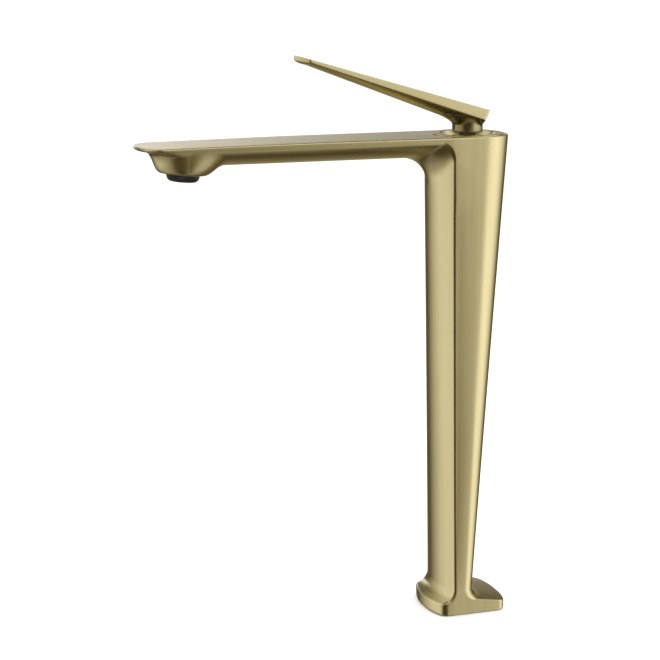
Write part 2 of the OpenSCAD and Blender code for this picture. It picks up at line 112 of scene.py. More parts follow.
def arc_bow(x, half_chord, bow):
    """How far a circular arc of the given half chord and bow stands proud of its chord at x."""
    radius = (half_chord ** 2 + bow ** 2) / (2 * bow)
    return math.sqrt(max(0.0, radius ** 2 - x ** 2)) - (radius - bow)


def soft_min(a, b, blend):
    """The smaller of two heights, with a rounded change between them."""
    h = clamp(0.5 + 0.5 * (b - a) / blend)
    return mix(b, a, h) - blend * h * (1 - h)


def rounded(start, corner, end, count):
    """A corner turned by a quadratic curve from start to end."""
    return [start * (1 - t) ** 2 + corner * (2 * t * (1 - t)) + end * t ** 2
            for t in steps(0, 1, count)]


# ---- Mesh helpers. Shapes are worked out in millimetres for x >= 0 and mirrored ------------
WELD = 0.002 * MM
SLIVER = 0.0005 * MM


def add_grid(mesh, rows, mirrored=True):
    """Faces between rows of points; a mirrored grid is made again on the other side of x = 0."""
    sides = (1, -1) if mirrored else (1,)
    for side in sides:
        made = [[mesh.verts.new((p[0] * side * MM, p[1] * MM, p[2] * MM)) for p in row] for row in rows]
        for upper, lower in zip(made, made[1:]):
            for i in range(len(upper) - 1):
                quad = (upper[i], upper[i + 1], lower[i + 1], lower[i])
                mesh.faces.new(quad if side > 0 else quad[::-1])


def finish_mesh(mesh, name, body, nodes, material):
    """Turns the mesh into a smooth piece that rides on a body and stands for the given CAD nodes."""
    bmesh.ops.remove_doubles(mesh, verts=mesh.verts, dist=WELD)
    bmesh.ops.dissolve_degenerate(mesh, edges=mesh.edges, dist=SLIVER)
    bmesh.ops.recalc_face_normals(mesh, faces=mesh.faces)
    data = bpy.data.meshes.new(name)
    mesh.to_mesh(data)
    mesh.free()
    data.polygons.foreach_set("use_smooth", [True] * len(data.polygons))
    piece = bpy.data.objects.new(name, data)
    bpy.context.scene.collection.objects.link(piece)
    data.materials.append(material)
    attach(piece, body)
    if nodes:
        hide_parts(*nodes)
    return piece


def lathe_rows(profile, segments, frame_matrix=Matrix.Identity(4), radius_at=None):
    """A profile of (radius, height) turned about the frame's Z axis."""
    rows = []
    for r, z in profile:
        row = []
        for i in range(segments + 1):
            angle = 2 * math.pi * i / segments
            reach = r if radius_at is None else radius_at(r, z, angle)
            row.append(frame_matrix @ Vector((reach * math.cos(angle), reach * math.sin(angle), z)))
        rows.append(row)
    return rows


def turned_profile(corners, radius, count=4):
    """A closed turned section whose corners are rounded by up to the given radius."""
    points = [Vector(c) for c in corners]
    path = []
    for i, corner in enumerate(points):
        before, after = points[i - 1] - corner, points[(i + 1) % len(points)] - corner
        reach = min(radius, before.length * 0.45, after.length * 0.45)
        path += rounded(corner + before.normalized() * reach, corner,
                        corner + after.normalized() * reach, count)
    return path + [path[0]]


def keep_flats_flat(piece):
    """Lets the large faces set the normals, so that small roundings don't shade them."""
    modifier = piece.modifiers.new("flat_normals", "WEIGHTED_NORMAL")
    modifier.weight = 80
    modifier.keep_sharp = True


def cut(piece, cutters):
    """Takes the closed cutter meshes out of the piece, once and for all."""
    for cutter in cutters:
        modifier = piece.modifiers.new("cut", "BOOLEAN")
        modifier.operation = "DIFFERENCE"
        modifier.solver = "EXACT"
        modifier.object = cutter
    graph = bpy.context.evaluated_depsgraph_get()
    result = bpy.data.meshes.new_from_object(piece.evaluated_get(graph))
    piece.modifiers.clear()
    piece.data = result
    for cutter in cutters:
        bpy.data.objects.remove(cutter)


def as_cutter(mesh):
    data = bpy.data.meshes.new("cutter")
    mesh.to_mesh(data)
    mesh.free()
    cutter = bpy.data.objects.new("cutter", data)
    bpy.context.scene.collection.objects.link(cutter)
    return cutter


def turned_cutter(profile, segments, frame_matrix):
    mesh = bmesh.new()
    add_grid(mesh, lathe_rows(profile, segments, frame_matrix), mirrored=False)
    bmesh.ops.remove_doubles(mesh, verts=mesh.verts, dist=WELD)
    bmesh.ops.holes_fill(mesh, edges=mesh.edges, sides=0)
    bmesh.ops.recalc_face_normals(mesh, faces=mesh.faces)
    return as_cutter(mesh)


def box_cutter(low, high):
    mesh = bmesh.new()
    bmesh.ops.create_cube(mesh, size=1)
    size = Vector(high) - Vector(low)
    bmesh.ops.scale(mesh, vec=size * MM, verts=mesh.verts)
    bmesh.ops.translate(mesh, vec=(Vector(low) + size / 2) * MM, verts=mesh.verts)
    return as_cutter(mesh)


# ---- Materials -----------------------------------------------------------------------------
class Nodes:
    """A short way to write a node tree."""

    def __init__(self, name):
        self.material = bpy.data.materials.new(name)
        self.material.use_nodes = True
        self.tree = self.material.node_tree
        self.shader = self.tree.nodes["Principled BSDF"]

    def add(self, kind, **values):
        node = self.tree.nodes.new(kind)
        for key, value in values.items():
            if hasattr(node, key):
                setattr(node, key, value)
            else:
                node.inputs[key].default_value = value
        return node

    def link(self, source, target):
        self.tree.links.new(source, target)

    def math(self, operation, a, b=0.0, use_clamp=False):
        node = self.tree.nodes.new("ShaderNodeMath")
        node.operation = operation
        node.use_clamp = use_clamp
        for socket, value in zip(node.inputs, (a, b)):
            if isinstance(value, (int, float)):
                socket.default_value = value
            else:
                self.link(value, socket)
        return node.outputs[0]

    def place(self, scale):
        coordinates = self.add("ShaderNodeTexCoord")
        mapping = self.add("ShaderNodeMapping")
        mapping.inputs["Scale"].default_value = scale
        self.link(coordinates.outputs["Object"], mapping.inputs["Vector"])
        return mapping.outputs["Vector"]

    def noise(self, scale, detail=3.0, roughness=0.5, size=1.0):
        node = self.add("ShaderNodeTexNoise")
        node.inputs["Scale"].default_value = size
        node.inputs["Detail"].default_value = detail
        node.inputs["Roughness"].default_value = roughness
        self.link(self.place(scale), node.inputs["Vector"])
        return node.outputs["Fac"]

    def ramp(self, fac, stops):
        node = self.add("ShaderNodeValToRGB")
        elements = node.color_ramp.elements
        while len(elements) < len(stops):
            elements.new(0.5)
        for element, (position, colour) in zip(elements, stops):
            element.position = position
            element.color = (*colour, 1)
        self.link(fac, node.inputs["Fac"])
        return node.outputs["Color"]

    def bump(self, height, strength, distance):
        node = self.add("ShaderNodeBump")
        node.inputs["Strength"].default_value = strength
        node.inputs["Distance"].default_value = distance
        self.link(height, node.inputs["Height"])
        self.link(node.outputs["Normal"], self.shader.inputs["Normal"])


GOLD_DARK = (0.585, 0.500, 0.265)
GOLD_LIGHT = (0.665, 0.580, 0.325)
GOLD_ROUGHNESS = 0.185
POLISHED = 0.15
EDGE_POINTINESS = 0.53


def brushed_gold(name, along, tone=1.0, shade=None):
    """Satin gold, brushed along one axis (0 = X, 1 = Y, 2 = Z), a little polished on its edges.

    shade is (y, y, share): painted shade, the colour darkens to that share of its tone from one y to the
    other. A tone below 1 makes a darker copy of the gold, also painted shade.
    """
    nodes = Nodes(name)
    fine = [1700.0] * 3
    fine[along] = 11.0
    broad = [330.0] * 3
    broad[along] = 5.0
    streaks = nodes.noise(fine, detail=2.0)
    bands = nodes.noise(broad, detail=3.0)
    cloud = nodes.noise((14.0, 14.0, 14.0), detail=4.0)
    blend = nodes.math("ADD", nodes.math("MULTIPLY", bands, 0.6), nodes.math("MULTIPLY", cloud, 0.4))
    colour = nodes.ramp(blend, [
        (0.25, [c * tone for c in GOLD_DARK]),
        (0.75, [c * tone for c in GOLD_LIGHT])])
    # Painted shade: the colour is multiplied down along the object's Y.
    if shade:
        split = nodes.add("ShaderNodeSeparateXYZ")
        nodes.link(nodes.add("ShaderNodeTexCoord").outputs["Object"], split.inputs[0])
        fall = nodes.add("ShaderNodeMapRange", interpolation_type="SMOOTHSTEP")
        nodes.link(split.outputs["Y"], fall.inputs["Value"])
        for socket, value in zip(("From Min", "From Max", "To Min", "To Max"), (*shade[:2], 1.0, shade[2])):
            fall.inputs[socket].default_value = value
        darker = nodes.add("ShaderNodeMixRGB", blend_type="MULTIPLY")
        darker.inputs["Fac"].default_value = 1.0
        nodes.link(colour, darker.inputs["Color1"])
        nodes.link(fall.outputs["Result"], darker.inputs["Color2"])
        colour = darker.outputs["Color"]
    nodes.link(colour, nodes.shader.inputs["Base Color"])
    nodes.shader.inputs["Metallic"].default_value = 1.0
    wear = nodes.add("ShaderNodeNewGeometry").outputs["Pointiness"]
    edge = nodes.math("MULTIPLY", nodes.math("SUBTRACT", wear, EDGE_POINTINESS, True), 0.3)
    rough = nodes.math("ADD", nodes.math("MULTIPLY", streaks, 0.10), nodes.math("MULTIPLY", cloud, 0.05))
    rough = nodes.math("SUBTRACT", nodes.math("ADD", rough, GOLD_ROUGHNESS), edge)
    nodes.link(nodes.math("MAXIMUM", rough, POLISHED), nodes.shader.inputs["Roughness"])
    nodes.bump(streaks, 0.06, 0.00004)
    return nodes.material


def moulded(name, dark, light, roughness, grain=900.0):
    """Moulded plastic or rubber with a fine grain."""
    nodes = Nodes(name)
    grains = nodes.noise((grain,) * 3, detail=3.0)
    cloud = nodes.noise((60.0,) * 3, detail=2.0)
    nodes.link(nodes.ramp(cloud, [(0.3, dark), (0.7, light)]), nodes.shader.inputs["Base Color"])
    nodes.link(nodes.math("ADD", nodes.math("MULTIPLY", grains, 0.15), roughness - 0.07),
               nodes.shader.inputs["Roughness"])
    nodes.bump(grains, 0.12, 0.00005)
    return nodes.material


def machined(name, dark, light, roughness):
    """Turned or drawn metal with fine tool marks."""
    nodes = Nodes(name)
    marks = nodes.noise((300.0, 300.0, 5000.0), detail=2.0)
    nodes.link(nodes.ramp(marks, [(0.3, dark), (0.7, light)]), nodes.shader.inputs["Base Color"])
    nodes.shader.inputs["Metallic"].default_value = 1.0
    nodes.link(nodes.math("ADD", nodes.math("MULTIPLY", marks, 0.12), roughness - 0.06),
               nodes.shader.inputs["Roughness"])
    nodes.bump(marks, 0.15, 0.00004)
    return nodes.material


GOLD_UP = brushed_gold("gold_brushed_up", 2)
GOLD_OUT = brushed_gold("gold_brushed_out", 1)
GOLD_ROUND = brushed_gold("gold_satin", 0)
# Painted shade: the stem is a darker copy of the same gold.
STEM_SHADE_TONE = 0.56
# Painted shade: the lever's underside is a slightly darker copy of the gold that darkens further, to half,
# towards the stem.
UNDER_SHADE_TONE = 0.95
UNDER_SHADE = (-0.045, -0.008, 0.5)
GOLD_STEM_SHADED = brushed_gold("gold_stem_painted_shade", 2, STEM_SHADE_TONE)
GOLD_UNDER_SHADED = brushed_gold("gold_underside_painted_shade", 1, UNDER_SHADE_TONE, UNDER_SHADE)
MATERIALS = {
    "brushed_gold": GOLD_ROUND,
    "bare_brass": machined("bare_brass", (0.14, 0.09, 0.03), (0.20, 0.13, 0.05), 0.4),
    "steel": machined("steel", (0.42, 0.42, 0.43), (0.58, 0.58, 0.60), 0.28),
    "copper": machined("copper", (0.55, 0.25, 0.14), (0.68, 0.34, 0.20), 0.3),
    "white_plastic": moulded("white_plastic", (0.72, 0.72, 0.69), (0.80, 0.80, 0.77), 0.4),
    "grey_plastic": moulded("grey_plastic", (0.15, 0.16, 0.18), (0.20, 0.21, 0.24), 0.42),
    "black_plastic": moulded("black_plastic", (0.004, 0.004, 0.004), (0.009, 0.009, 0.009), 0.30),
    "ceramic": moulded("ceramic", (0.80, 0.78, 0.72), (0.86, 0.84, 0.79), 0.12, 2500.0),
    "rubber": moulded("rubber", (0.008, 0.008, 0.008), (0.016, 0.016, 0.016), 0.55),
}


def paint_cad_nodes():
    slots = {s["node"]: s["material_slot"] for s in frame["record"]["subparts"]}
    for name, node in frame["nodes"].items():
        node.data.materials.clear()
        node.data.materials.append(MATERIALS[slots[name]])


paint_cad_nodes()


# ---- Body casting: outline functions in millimetres ----------------------------------------
body_low, body_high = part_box("body_casting")
TOP = body_high.z / MM
HALF = body_high.x / MM
LIP = 3.5
SPOUT_DEPTH = 14.0
LIP_Z = TOP - LIP
KEEL = SPOUT_DEPTH - LIP
TIP_BOW = 6.5
TIP_CORNER = body_low.y / MM + TIP_BOW
TIP_HALF = 21.5
TIP_DROP = 1.0
DROP_START = -110.0
OUTLET_Y = -186.0
OUTLET_Z = TOP - 18.4
OUTLET_TILT = 5.0
TOP_EDGE = 0.9
FLARE_TOP = 17.4
# Each pair holds the column's value at the deck and at the top.
CORNER_Y = (-13.8, -18.5)
FRONT_BOW = (5, 8)
SIDE_END_Y = (-7.4, 3)
BACK_DEPTH = (9.2, 22)


def corner_y(z):
    return mix(*CORNER_Y, z / TOP)


def front_bow(z):
    return mix(*FRONT_BOW, z / TOP)


def side_end_y(z):
    return mix(*SIDE_END_Y, z / TOP)


def back_depth(z):
    return mix(*BACK_DEPTH, z / TOP)


ROOT_Y = corner_y(TOP)


def spout_half(y):
    return mix(HALF, TIP_HALF, math.sin(math.pi / 2 * clamp((ROOT_Y - y) / (ROOT_Y - TIP_CORNER))))


RIM_ROUND = 1.5
FOOT_EDGE_RISE = 1.6
FOOT_EDGE_RUN = 1.3


def flare_path(fillet, slope_deg, spread):
    """(out, height) down the foot: fillet, slope, rounded rim, upright rim, rounded bottom edge."""
    slope = math.radians(slope_deg)
    path = []
    for turn in steps(0, math.pi / 2 - slope, 12):
        path.append((fillet * (1 - math.cos(turn)), FLARE_TOP - fillet * math.sin(turn)))
    out, height = path[-1]
    rim = height - (spread - out) * math.tan(slope)
    before = Vector((spread - RIM_ROUND * math.cos(slope), rim + RIM_ROUND * math.sin(slope)))
    after = Vector((spread, rim - RIM_ROUND))
    lift = Vector((spread, FOOT_EDGE_RISE))
    rest = Vector((spread - FOOT_EDGE_RUN, 0))
    path += [tuple(mix(Vector((out, height)), before, t)) for t in (0.33, 0.67)]
    path += [tuple(p) for p in rounded(before, Vector((spread, rim)), after, 6)]
    path.append((spread, mix(after.y, lift.y, 0.5)))
    path += [tuple(p) for p in rounded(lift, Vector((spread, 0)), rest, 5)]
    return path


FOOT_FRONT = 27.2
FOOT_BACK = 24.8
FRONT_PATH = flare_path(9, 17, FOOT_FRONT + corner_y(0) - front_bow(0))
FOOT_BACK_BOW = 7.0
BACK_SPREAD = FOOT_BACK - FOOT_BACK_BOW - side_end_y(0)
BACK_PATH = flare_path(8.5, 8, BACK_SPREAD)

FRONT_STEPS = 30
CORNER_STEPS = 6
SIDE_STEPS = 8
BACK_STEPS = 28
CORNER = 1.35
SQUARENESS = 0.86
# How far the side wall is drawn in at its front corner; this grows and fades between these heights.
SIDE_BOW = 0.35
BOW_STARTS = (20, 70)
BOW_ENDS = (283, 262)
FOOT_CORNER = 4.0


def front_point(x, z, out=0.0):
    return Vector((x, corner_y(z) - out - arc_bow(x, HALF, front_bow(z)), z))


def back_point(angle, z, out=0.0):
    depth = mix(back_depth(z), FOOT_BACK_BOW, out / BACK_SPREAD)
    x = HALF * math.cos(angle) ** SQUARENESS if angle < math.pi / 2 - 1e-6 else 0.0
    return Vector((x, side_end_y(z) + out + depth * math.sin(angle) ** SQUARENESS, z))


def back_curve(z, out=0.0):
    return [back_point(a, z, out) for a in steps(0, math.pi / 2, BACK_STEPS)]


def half_section(front, corner, side_end, side_bow=0.0):
    """front(t) from the middle to the corner, the rounded corner, then the almost flat side."""
    tip = front(1.0)
    start = front(1 - corner / HALF)
    end = tip + (side_end - tip).normalized() * corner
    points = [front(t) for t in steps(0, 1 - corner / HALF, FRONT_STEPS)]
    points += rounded(start, tip, end, CORNER_STEPS)[1:]
    for i, p in enumerate(points[FRONT_STEPS + 1:]):
        p.x -= side_bow * (i + 1) / CORNER_STEPS
    for t in steps(0, 1, SIDE_STEPS)[1:]:
        p = mix(end, side_end, t)
        p.x -= side_bow * (1 - t) ** 2
        points.append(p)
    return points


def column_section(front_z, back_z, front_out=0.0, back_out=0.0, corner=CORNER):
    """A level section of the column and the foot, from the middle of its front to that of its back."""
    end = back_point(0.0, back_z, back_out)
    side_bow = SIDE_BOW * smooth(*BOW_STARTS, front_z) * smooth(*BOW_ENDS, front_z)
    points = half_section(lambda t: front_point(t * HALF, front_z, front_out), corner, end, side_bow)
    return points + back_curve(back_z, back_out)[1:]


# Where the spout's section changes into its tip, how much of the keel fades out there, and how far
# the lip's lower edge rises.
TIP_CHANGE = (-194, -211)
KEEL_FADE = (-190, -208)
KEEL_FADE_SHARE = 0.95
TIP_LIP_RISE = 0.6
TOP_FALL_POWER = 1.3


def tipness(y):
    """0 along the spout, rising to 1 at its tip."""
    return smooth(*TIP_CHANGE, y)


def spout_top(y):
    """The flat top, which falls very slightly towards the tip."""
    along = clamp((DROP_START - y) / (DROP_START - body_low.y / MM))
    return TOP - TIP_DROP * along ** TOP_FALL_POWER


def keel_z(x, y):
    """The bowed underside of the spout, without the outlet boss."""
    lip = LIP_Z + TIP_LIP_RISE * tipness(y)
    half = spout_half(y)
    depth = KEEL * (1 - KEEL_FADE_SHARE * smooth(*KEEL_FADE, y))
    return lip - arc_bow(min(abs(x), half), half, depth)


BOSS_REACH = 13.3
BOSS_STRETCH = 0.7
# The wall rises by factor * distance ** power; its back is the gentle one.
STEEP_FACTOR, STEEP_POWER = 0.288, 2.07
GENTLE_FACTOR, GENTLE_POWER = 0.42, 1.3
# Where the boss's front starts to sweep out into the lip, and how high and far the sweep goes.
FILLET_START = 4.3
FILLET_RISE = 8.6
FILLET_RUN = 3.03
BOSS_BLEND = 3.0


def boss_z(x, y):
    """The outlet boss: steep at the front and the sides, a gentle slope at the back."""
    reach = math.hypot(x, y - OUTLET_Y)
    forward = (OUTLET_Y - y) / max(reach, 0.1)
    gentle = smooth(0.1, -1.0, forward)
    past = max(0.0, reach - (BOSS_REACH + BOSS_STRETCH * abs(forward)))
    wall = mix(STEEP_FACTOR, GENTLE_FACTOR, gentle) * past ** mix(STEEP_POWER, GENTLE_POWER, gentle)
    if past > FILLET_START:
        base = STEEP_FACTOR * FILLET_START ** STEEP_POWER
        filleted = base + FILLET_RISE * (1 - math.exp((FILLET_START - past) / FILLET_RUN))
        wall = mix(wall, filleted, smooth(0.3, 0.9, forward))
    return OUTLET_Z - (y - OUTLET_Y) * math.tan(math.radians(OUTLET_TILT)) + wall


def underside_z(x, y):
    return soft_min(keel_z(x, y), boss_z(x, y), BOSS_BLEND)


# Size of the inside corner in its middle and at its sides.
FAN_REACH = (19, 8.5)
FAN_RISE = (19, 11)


def fan_front(t, turn):
    """The inside corner between column and spout, from upright (turn 0) to level (turn 90)."""
    reach = mix(*FAN_REACH, t * t)
    rise = mix(*FAN_RISE, t * t)
    z = keel_z(t * HALF, ROOT_Y) - rise * (1 - math.sin(turn))
    y = front_point(t * HALF, z).y - reach * (1 - math.cos(turn))
    return Vector((t * spout_half(y), y, z))


FAN_STEPS = 26
FAN_TURN = 12
FAN_START = 283.0
FAN_END = -38.0


def fan_section(step):
    """A section of the turn from column to spout; the first FAN_TURN of them reach round the back."""
    turn = math.pi / 2 * step / FAN_STEPS
    if step <= FAN_TURN:
        z = mix(FAN_START, TOP - TOP_EDGE, step / FAN_TURN)
        end = back_point(0.0, z)
    else:
        y = mix(side_end_y(TOP), FAN_END, (step - FAN_TURN) / (FAN_STEPS - FAN_TURN))
        end = Vector((spout_half(y), y, TOP - TOP_EDGE))
    points = half_section(lambda t: fan_front(t, turn), CORNER, end)
    first_side = FRONT_STEPS + CORNER_STEPS
    for p in points[first_side:]:
        p.x = spout_half(p.y)
    if step <= FAN_TURN:
        points += back_curve(z)[1:]
    return points


# Size of the lip's rounded lower edge along the spout and at its tip.
LIP_INWARD = (1.2, 5.2)
LIP_UPWARD = (1.2, 1.5)


def wall_rib(x, y, nx, ny):
    """Underside edge, rounded lip corner and upright lip at one place on the spout's outline."""
    inward = mix(*LIP_INWARD, tipness(y))
    upward = mix(*LIP_UPWARD, tipness(y))
    inner = Vector((x - nx * inward, y - ny * inward, 0))
    inner.z = underside_z(inner.x, inner.y)
    corner = Vector((x, y, keel_z(x, y)))
    upper = Vector((x, y, corner.z + upward))
    top = Vector((x, y, spout_top(y) - TOP_EDGE))
    points = rounded(inner, corner, upper, CORNER_STEPS)
    return points + [mix(upper, top, t) for t in steps(0, 1, SIDE_STEPS)[1:]]


def spout_section(y):
    """A section straight across the spout: its underside, lip and upright edge."""
    half = spout_half(y)
    rib = wall_rib(half, y, 1, 0)
    return [Vector((x, y, underside_z(x, y))) for x in steps(0, rib[0].x, FRONT_STEPS)[:-1]] + rib


TIP_ROUND = 6.5
TURN_STEPS = 8


def tip_outline(count):
    """(x, y, nx, ny) from the middle of the tip round to the straight side."""
    radius = (TIP_HALF ** 2 + TIP_BOW ** 2) / (2 * TIP_BOW)
    centre_y = TIP_CORNER - TIP_BOW + radius
    last = math.asin((TIP_HALF - TIP_ROUND) / radius)
    arc = [Vector((radius * math.sin(a), centre_y - radius * math.cos(a)))
           for a in steps(0, last, count - TURN_STEPS)]
    corner = Vector((TIP_HALF, TIP_CORNER + 1.2))
    turn = rounded(arc[-1], corner, Vector((TIP_HALF, TIP_CORNER + TIP_ROUND)), TURN_STEPS)
    points = arc + turn[1:]
    places = []
    for i, p in enumerate(points):
        run = points[min(i + 1, len(points) - 1)] - points[max(i - 1, 0)]
        run.normalize()
        places.append((p.x, p.y, run.y, -run.x))
    places[0] = (0.0, places[0][1], 0.0, -1.0)
    places[-1] = (places[-1][0], places[-1][1], 1.0, 0.0)
    return places


def top_cap(mesh, chain, top, edge):
    """Rounds the edge of a flat top whose outline runs from the back's middle to the tip's."""
    inward = []
    for i, p in enumerate(chain):
        run = chain[min(i + 1, len(chain) - 1)] - chain[max(i - 1, 0)]
        inward.append(Vector((run.y, -run.x, 0)).normalized())
    inward[0], inward[-1] = Vector((0, -1, 0)), Vector((0, 1, 0))
    rows = []
    for turn in steps(0, math.pi / 2, 5):
        row = []
        for n, p in zip(inward, chain):
            q = p + n * edge * (1 - math.cos(turn))
            q.x = max(0.0, q.x)
            q.z = top(q.y) - edge + edge * math.sin(turn)
            row.append(q)
        rows.append(row)
    rows[-1][0].x = rows[-1][-1].x = 0.0
    add_grid(mesh, rows)
    rim = rows[-1]
    add_grid(mesh, [rim, [Vector((0, p.y, p.z)) for p in rim]])


COLUMN_HEIGHTS = (30, 60, 90, 120, 150, 180, 210, 240, 262, 274)
TIP_BENDS = 10
HEAD_BORE = [(0, 1), (23.45, 1), (23.45, -0.05), (23.15, -0.3), (23.15, -1.7), (19.05, -2.0),
             (19.05, -13.5), (17.6, -13.8), (17.6, -42), (0, -42)]
OUTLET_SOCKET = [(0, -30), (10.5, -30), (10.5, 0.3), (10.3, 0.6), (10.3, 11), (0, 11)]
FOOT_GAP = 0.2
FOOT_RECESS_TOP = 4.5
FOOT_POCKET = ((-19.6, -15.5, 4), (19.6, -0.9, 22))
# In front of this the casting is brushed along the spout, behind it up the column.
SPOUT_BRUSHING = (-30, 270)


def build_body():
    mesh = bmesh.new()
    sections = []
    spread = FRONT_PATH[-1][0]
    for (front_out, front_z), (back_out, back_z) in reversed(list(zip(FRONT_PATH, BACK_PATH))):
        corner = mix(CORNER, FOOT_CORNER, clamp(front_out / spread))
        sections.append(column_section(front_z, back_z, front_out, back_out, corner))
    sections += [column_section(z, z) for z in COLUMN_HEIGHTS]
    fan = [fan_section(s) for s in range(FAN_STEPS + 1)]
    sections += fan[:FAN_TURN + 1]
    add_grid(mesh, sections)
    add_grid(mesh, [sections[0], [Vector((0, p.y, p.z)) for p in sections[0]]])
    # Spout: open sections, then sections that bend round to the bowed tip.
    width = FRONT_STEPS + CORNER_STEPS + SIDE_STEPS + 1
    spout = [fan[FAN_TURN][:width]] + fan[FAN_TURN + 1:]
    spout += [spout_section(y) for y in steps(-52, -156, 12) + steps(-160, TIP_CORNER + TIP_ROUND, 66)]
    tip = [wall_rib(*place) for place in tip_outline(FRONT_STEPS)]
    straight = spout[-1]
    for bend in steps(0, 1, TIP_BENDS)[1:]:
        row = []
        for i in range(FRONT_STEPS):
            p = mix(straight[i], tip[i][0], bend)
            p.z = underside_z(p.x, p.y)
            row.append(p)
        spout.append(row + straight[FRONT_STEPS:])
    add_grid(mesh, spout)
    add_grid(mesh, tip)
    chain = list(reversed(fan[FAN_TURN][width - 1:])) + [s[-1] for s in spout[1:-TIP_BENDS]]
    chain += [rib[-1] for rib in reversed(tip)][1:]
    top_cap(mesh, chain, spout_top, TOP_EDGE)
    body = finish_mesh(mesh, "tap_body", "body", ["body_casting"], GOLD_UP)
    body.data.materials.append(GOLD_OUT)
    plate_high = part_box("base_insert")[1] / MM
    gasket_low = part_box("base_gasket")[0] / MM
    recess_low = gasket_low - Vector((FOOT_GAP, FOOT_GAP, 1))
    recess_high = Vector((plate_high.x + FOOT_GAP, plate_high.y + FOOT_GAP, FOOT_RECESS_TOP))
    cut(body, [
        turned_cutter(HEAD_BORE, 96, Matrix.Translation((0, 0, TOP))),
        turned_cutter(OUTLET_SOCKET, 72, outlet_frame()),
        box_cutter(recess_low, recess_high),
        box_cutter(*FOOT_POCKET)])
    for face in body.data.polygons:
        centre = face.center / MM
        on_spout = centre.y < SPOUT_BRUSHING[0] and centre.z > SPOUT_BRUSHING[1]
        face.material_index = 1 if on_spout else 0
    keep_flats_flat(body)


def outlet_frame():
    """The outlet's own frame: origin in the middle of the boss's lower face, Z into the spout."""
    return Matrix.Translation((0, OUTLET_Y, OUTLET_Z)) @ Matrix.Rotation(math.radians(-OUTLET_TILT), 4, "X")


build_body()


# ---- Lever ---------------------------------------------------------------------------------
lever_low, lever_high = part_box("lever_handle")
PITCH = math.tan(math.radians(16))
BLADE_TOP = TOP + 18.3
ROOT_HALF = lever_high.x / MM
END_HALF = 9.5
END_BOW = 7.4
END_APEX = 2.6
END_CORNER = lever_low.y / MM + END_BOW + 0.3
BACK_Y = 11.0
BACK_BOW = 1.2
BACK_RAKE = 0.5
STEM_R = 9.7
STEM_BOTTOM = TOP + 1.1
BLADE_EDGE = 0.4
SIDE_DRAFT = 0.06
# Each pair holds the blade's value at its back and at its tip.
BLADE_SIDE = (7.4, 2.2)
BLADE_KEEL = (7.0, 1.8)
# The keel is shallow at the very back and grows with this slope.
BACK_KEEL = 4.2
BACK_KEEL_SLOPE = 0.25
RAKE_START = -6


def along_blade(y):
    return clamp((BACK_Y - y) / (BACK_Y - END_CORNER))


def blade_half(y):
    return mix(ROOT_HALF, END_HALF, along_blade(y))


def blade_top(y):
    return BLADE_TOP - y * PITCH


def blade_side(y):
    return mix(*BLADE_SIDE, along_blade(y))


def blade_under(x, y):
    half = blade_half(y)
    keel = min(mix(*BLADE_KEEL, along_blade(y)), BACK_KEEL + (BACK_Y - y) * BACK_KEEL_SLOPE)
    return blade_top(y) - blade_side(y) - arc_bow(min(abs(x), half), half, keel)


def rake(y):
    """The side walls and the end stand square to the blade; the back is cut at more of a slant."""
    return mix(PITCH, BACK_RAKE, clamp((y - RAKE_START) / (BACK_Y - RAKE_START)))


def blade_rib(x, y, nx, ny, inward=0.5, upward=0.5):
    """Underside edge, rounded corner and side wall at one place on the blade's outline."""
    draft = SIDE_DRAFT * blade_side(y)
    top = Vector((x - nx * draft, y - ny * draft, blade_top(y) - BLADE_EDGE))
    corner = Vector((x, y, blade_under(x, y)))
    corner.y -= rake(y) * (top.z - corner.z)
    corner.z = blade_under(x, corner.y)
    inner = Vector((corner.x - nx * inward, corner.y - ny * inward, 0))
    inner.z = blade_under(inner.x, inner.y)
    upper = mix(corner, top, upward / (top - corner).length)
    points = rounded(inner, corner, upper, 4)
    return points + [mix(upper, top, t) for t in steps(0, 1, 4)[1:]]


def end_outline(half, corner_at, bow, turn, direction, count, apex=40.0):
    """(x, y, nx, ny) round a bowed end with a rounded apex, from its middle to the straight side."""
    spread = bow / (math.hypot(half, apex) - apex)
    arc = [Vector((x, corner_at + direction * (bow - spread * (math.hypot(x, apex) - apex))))
           for x in [(half - turn) * t ** 1.4 for t in steps(0, 1, count - 5)]]
    turned = rounded(arc[-1], Vector((half, corner_at)), Vector((half, corner_at - direction * turn)), 5)
    points = arc + turned[1:]
    places = []
    for i, p in enumerate(points):
        run = points[min(i + 1, len(points) - 1)] - points[max(i - 1, 0)]
        run.normalize()
        places.append((p.x, p.y, -direction * run.y, direction * run.x))
    places[0] = (0.0, places[0][1], 0.0, float(direction))
    return places


BLADE_STEPS = 20
# Rounding of the tip's lower edge: inward and upward, at its middle and at its sides.
TIP_INWARD = (5.0, 0.9)
TIP_UPWARD = (3.3, 0.9)


def blade_end(mesh, straight, ribs, bends):
    """Sections that bend from straight across to the outline of an end, and the end's own wall."""
    rows = [straight]
    for bend in steps(0, 1, bends)[1:]:
        row = []
        for i in range(BLADE_STEPS):
            p = mix(straight[i], ribs[i][0], bend)
            p.z = blade_under(p.x, p.y)
            row.append(p)
        rows.append(row + straight[BLADE_STEPS:])
    add_grid(mesh, rows)
    add_grid(mesh, ribs)


# Faces that look down by more than this are the underside, which is given the darker gold as painted shade.
SHADED_UNDER_NORMAL = -0.3


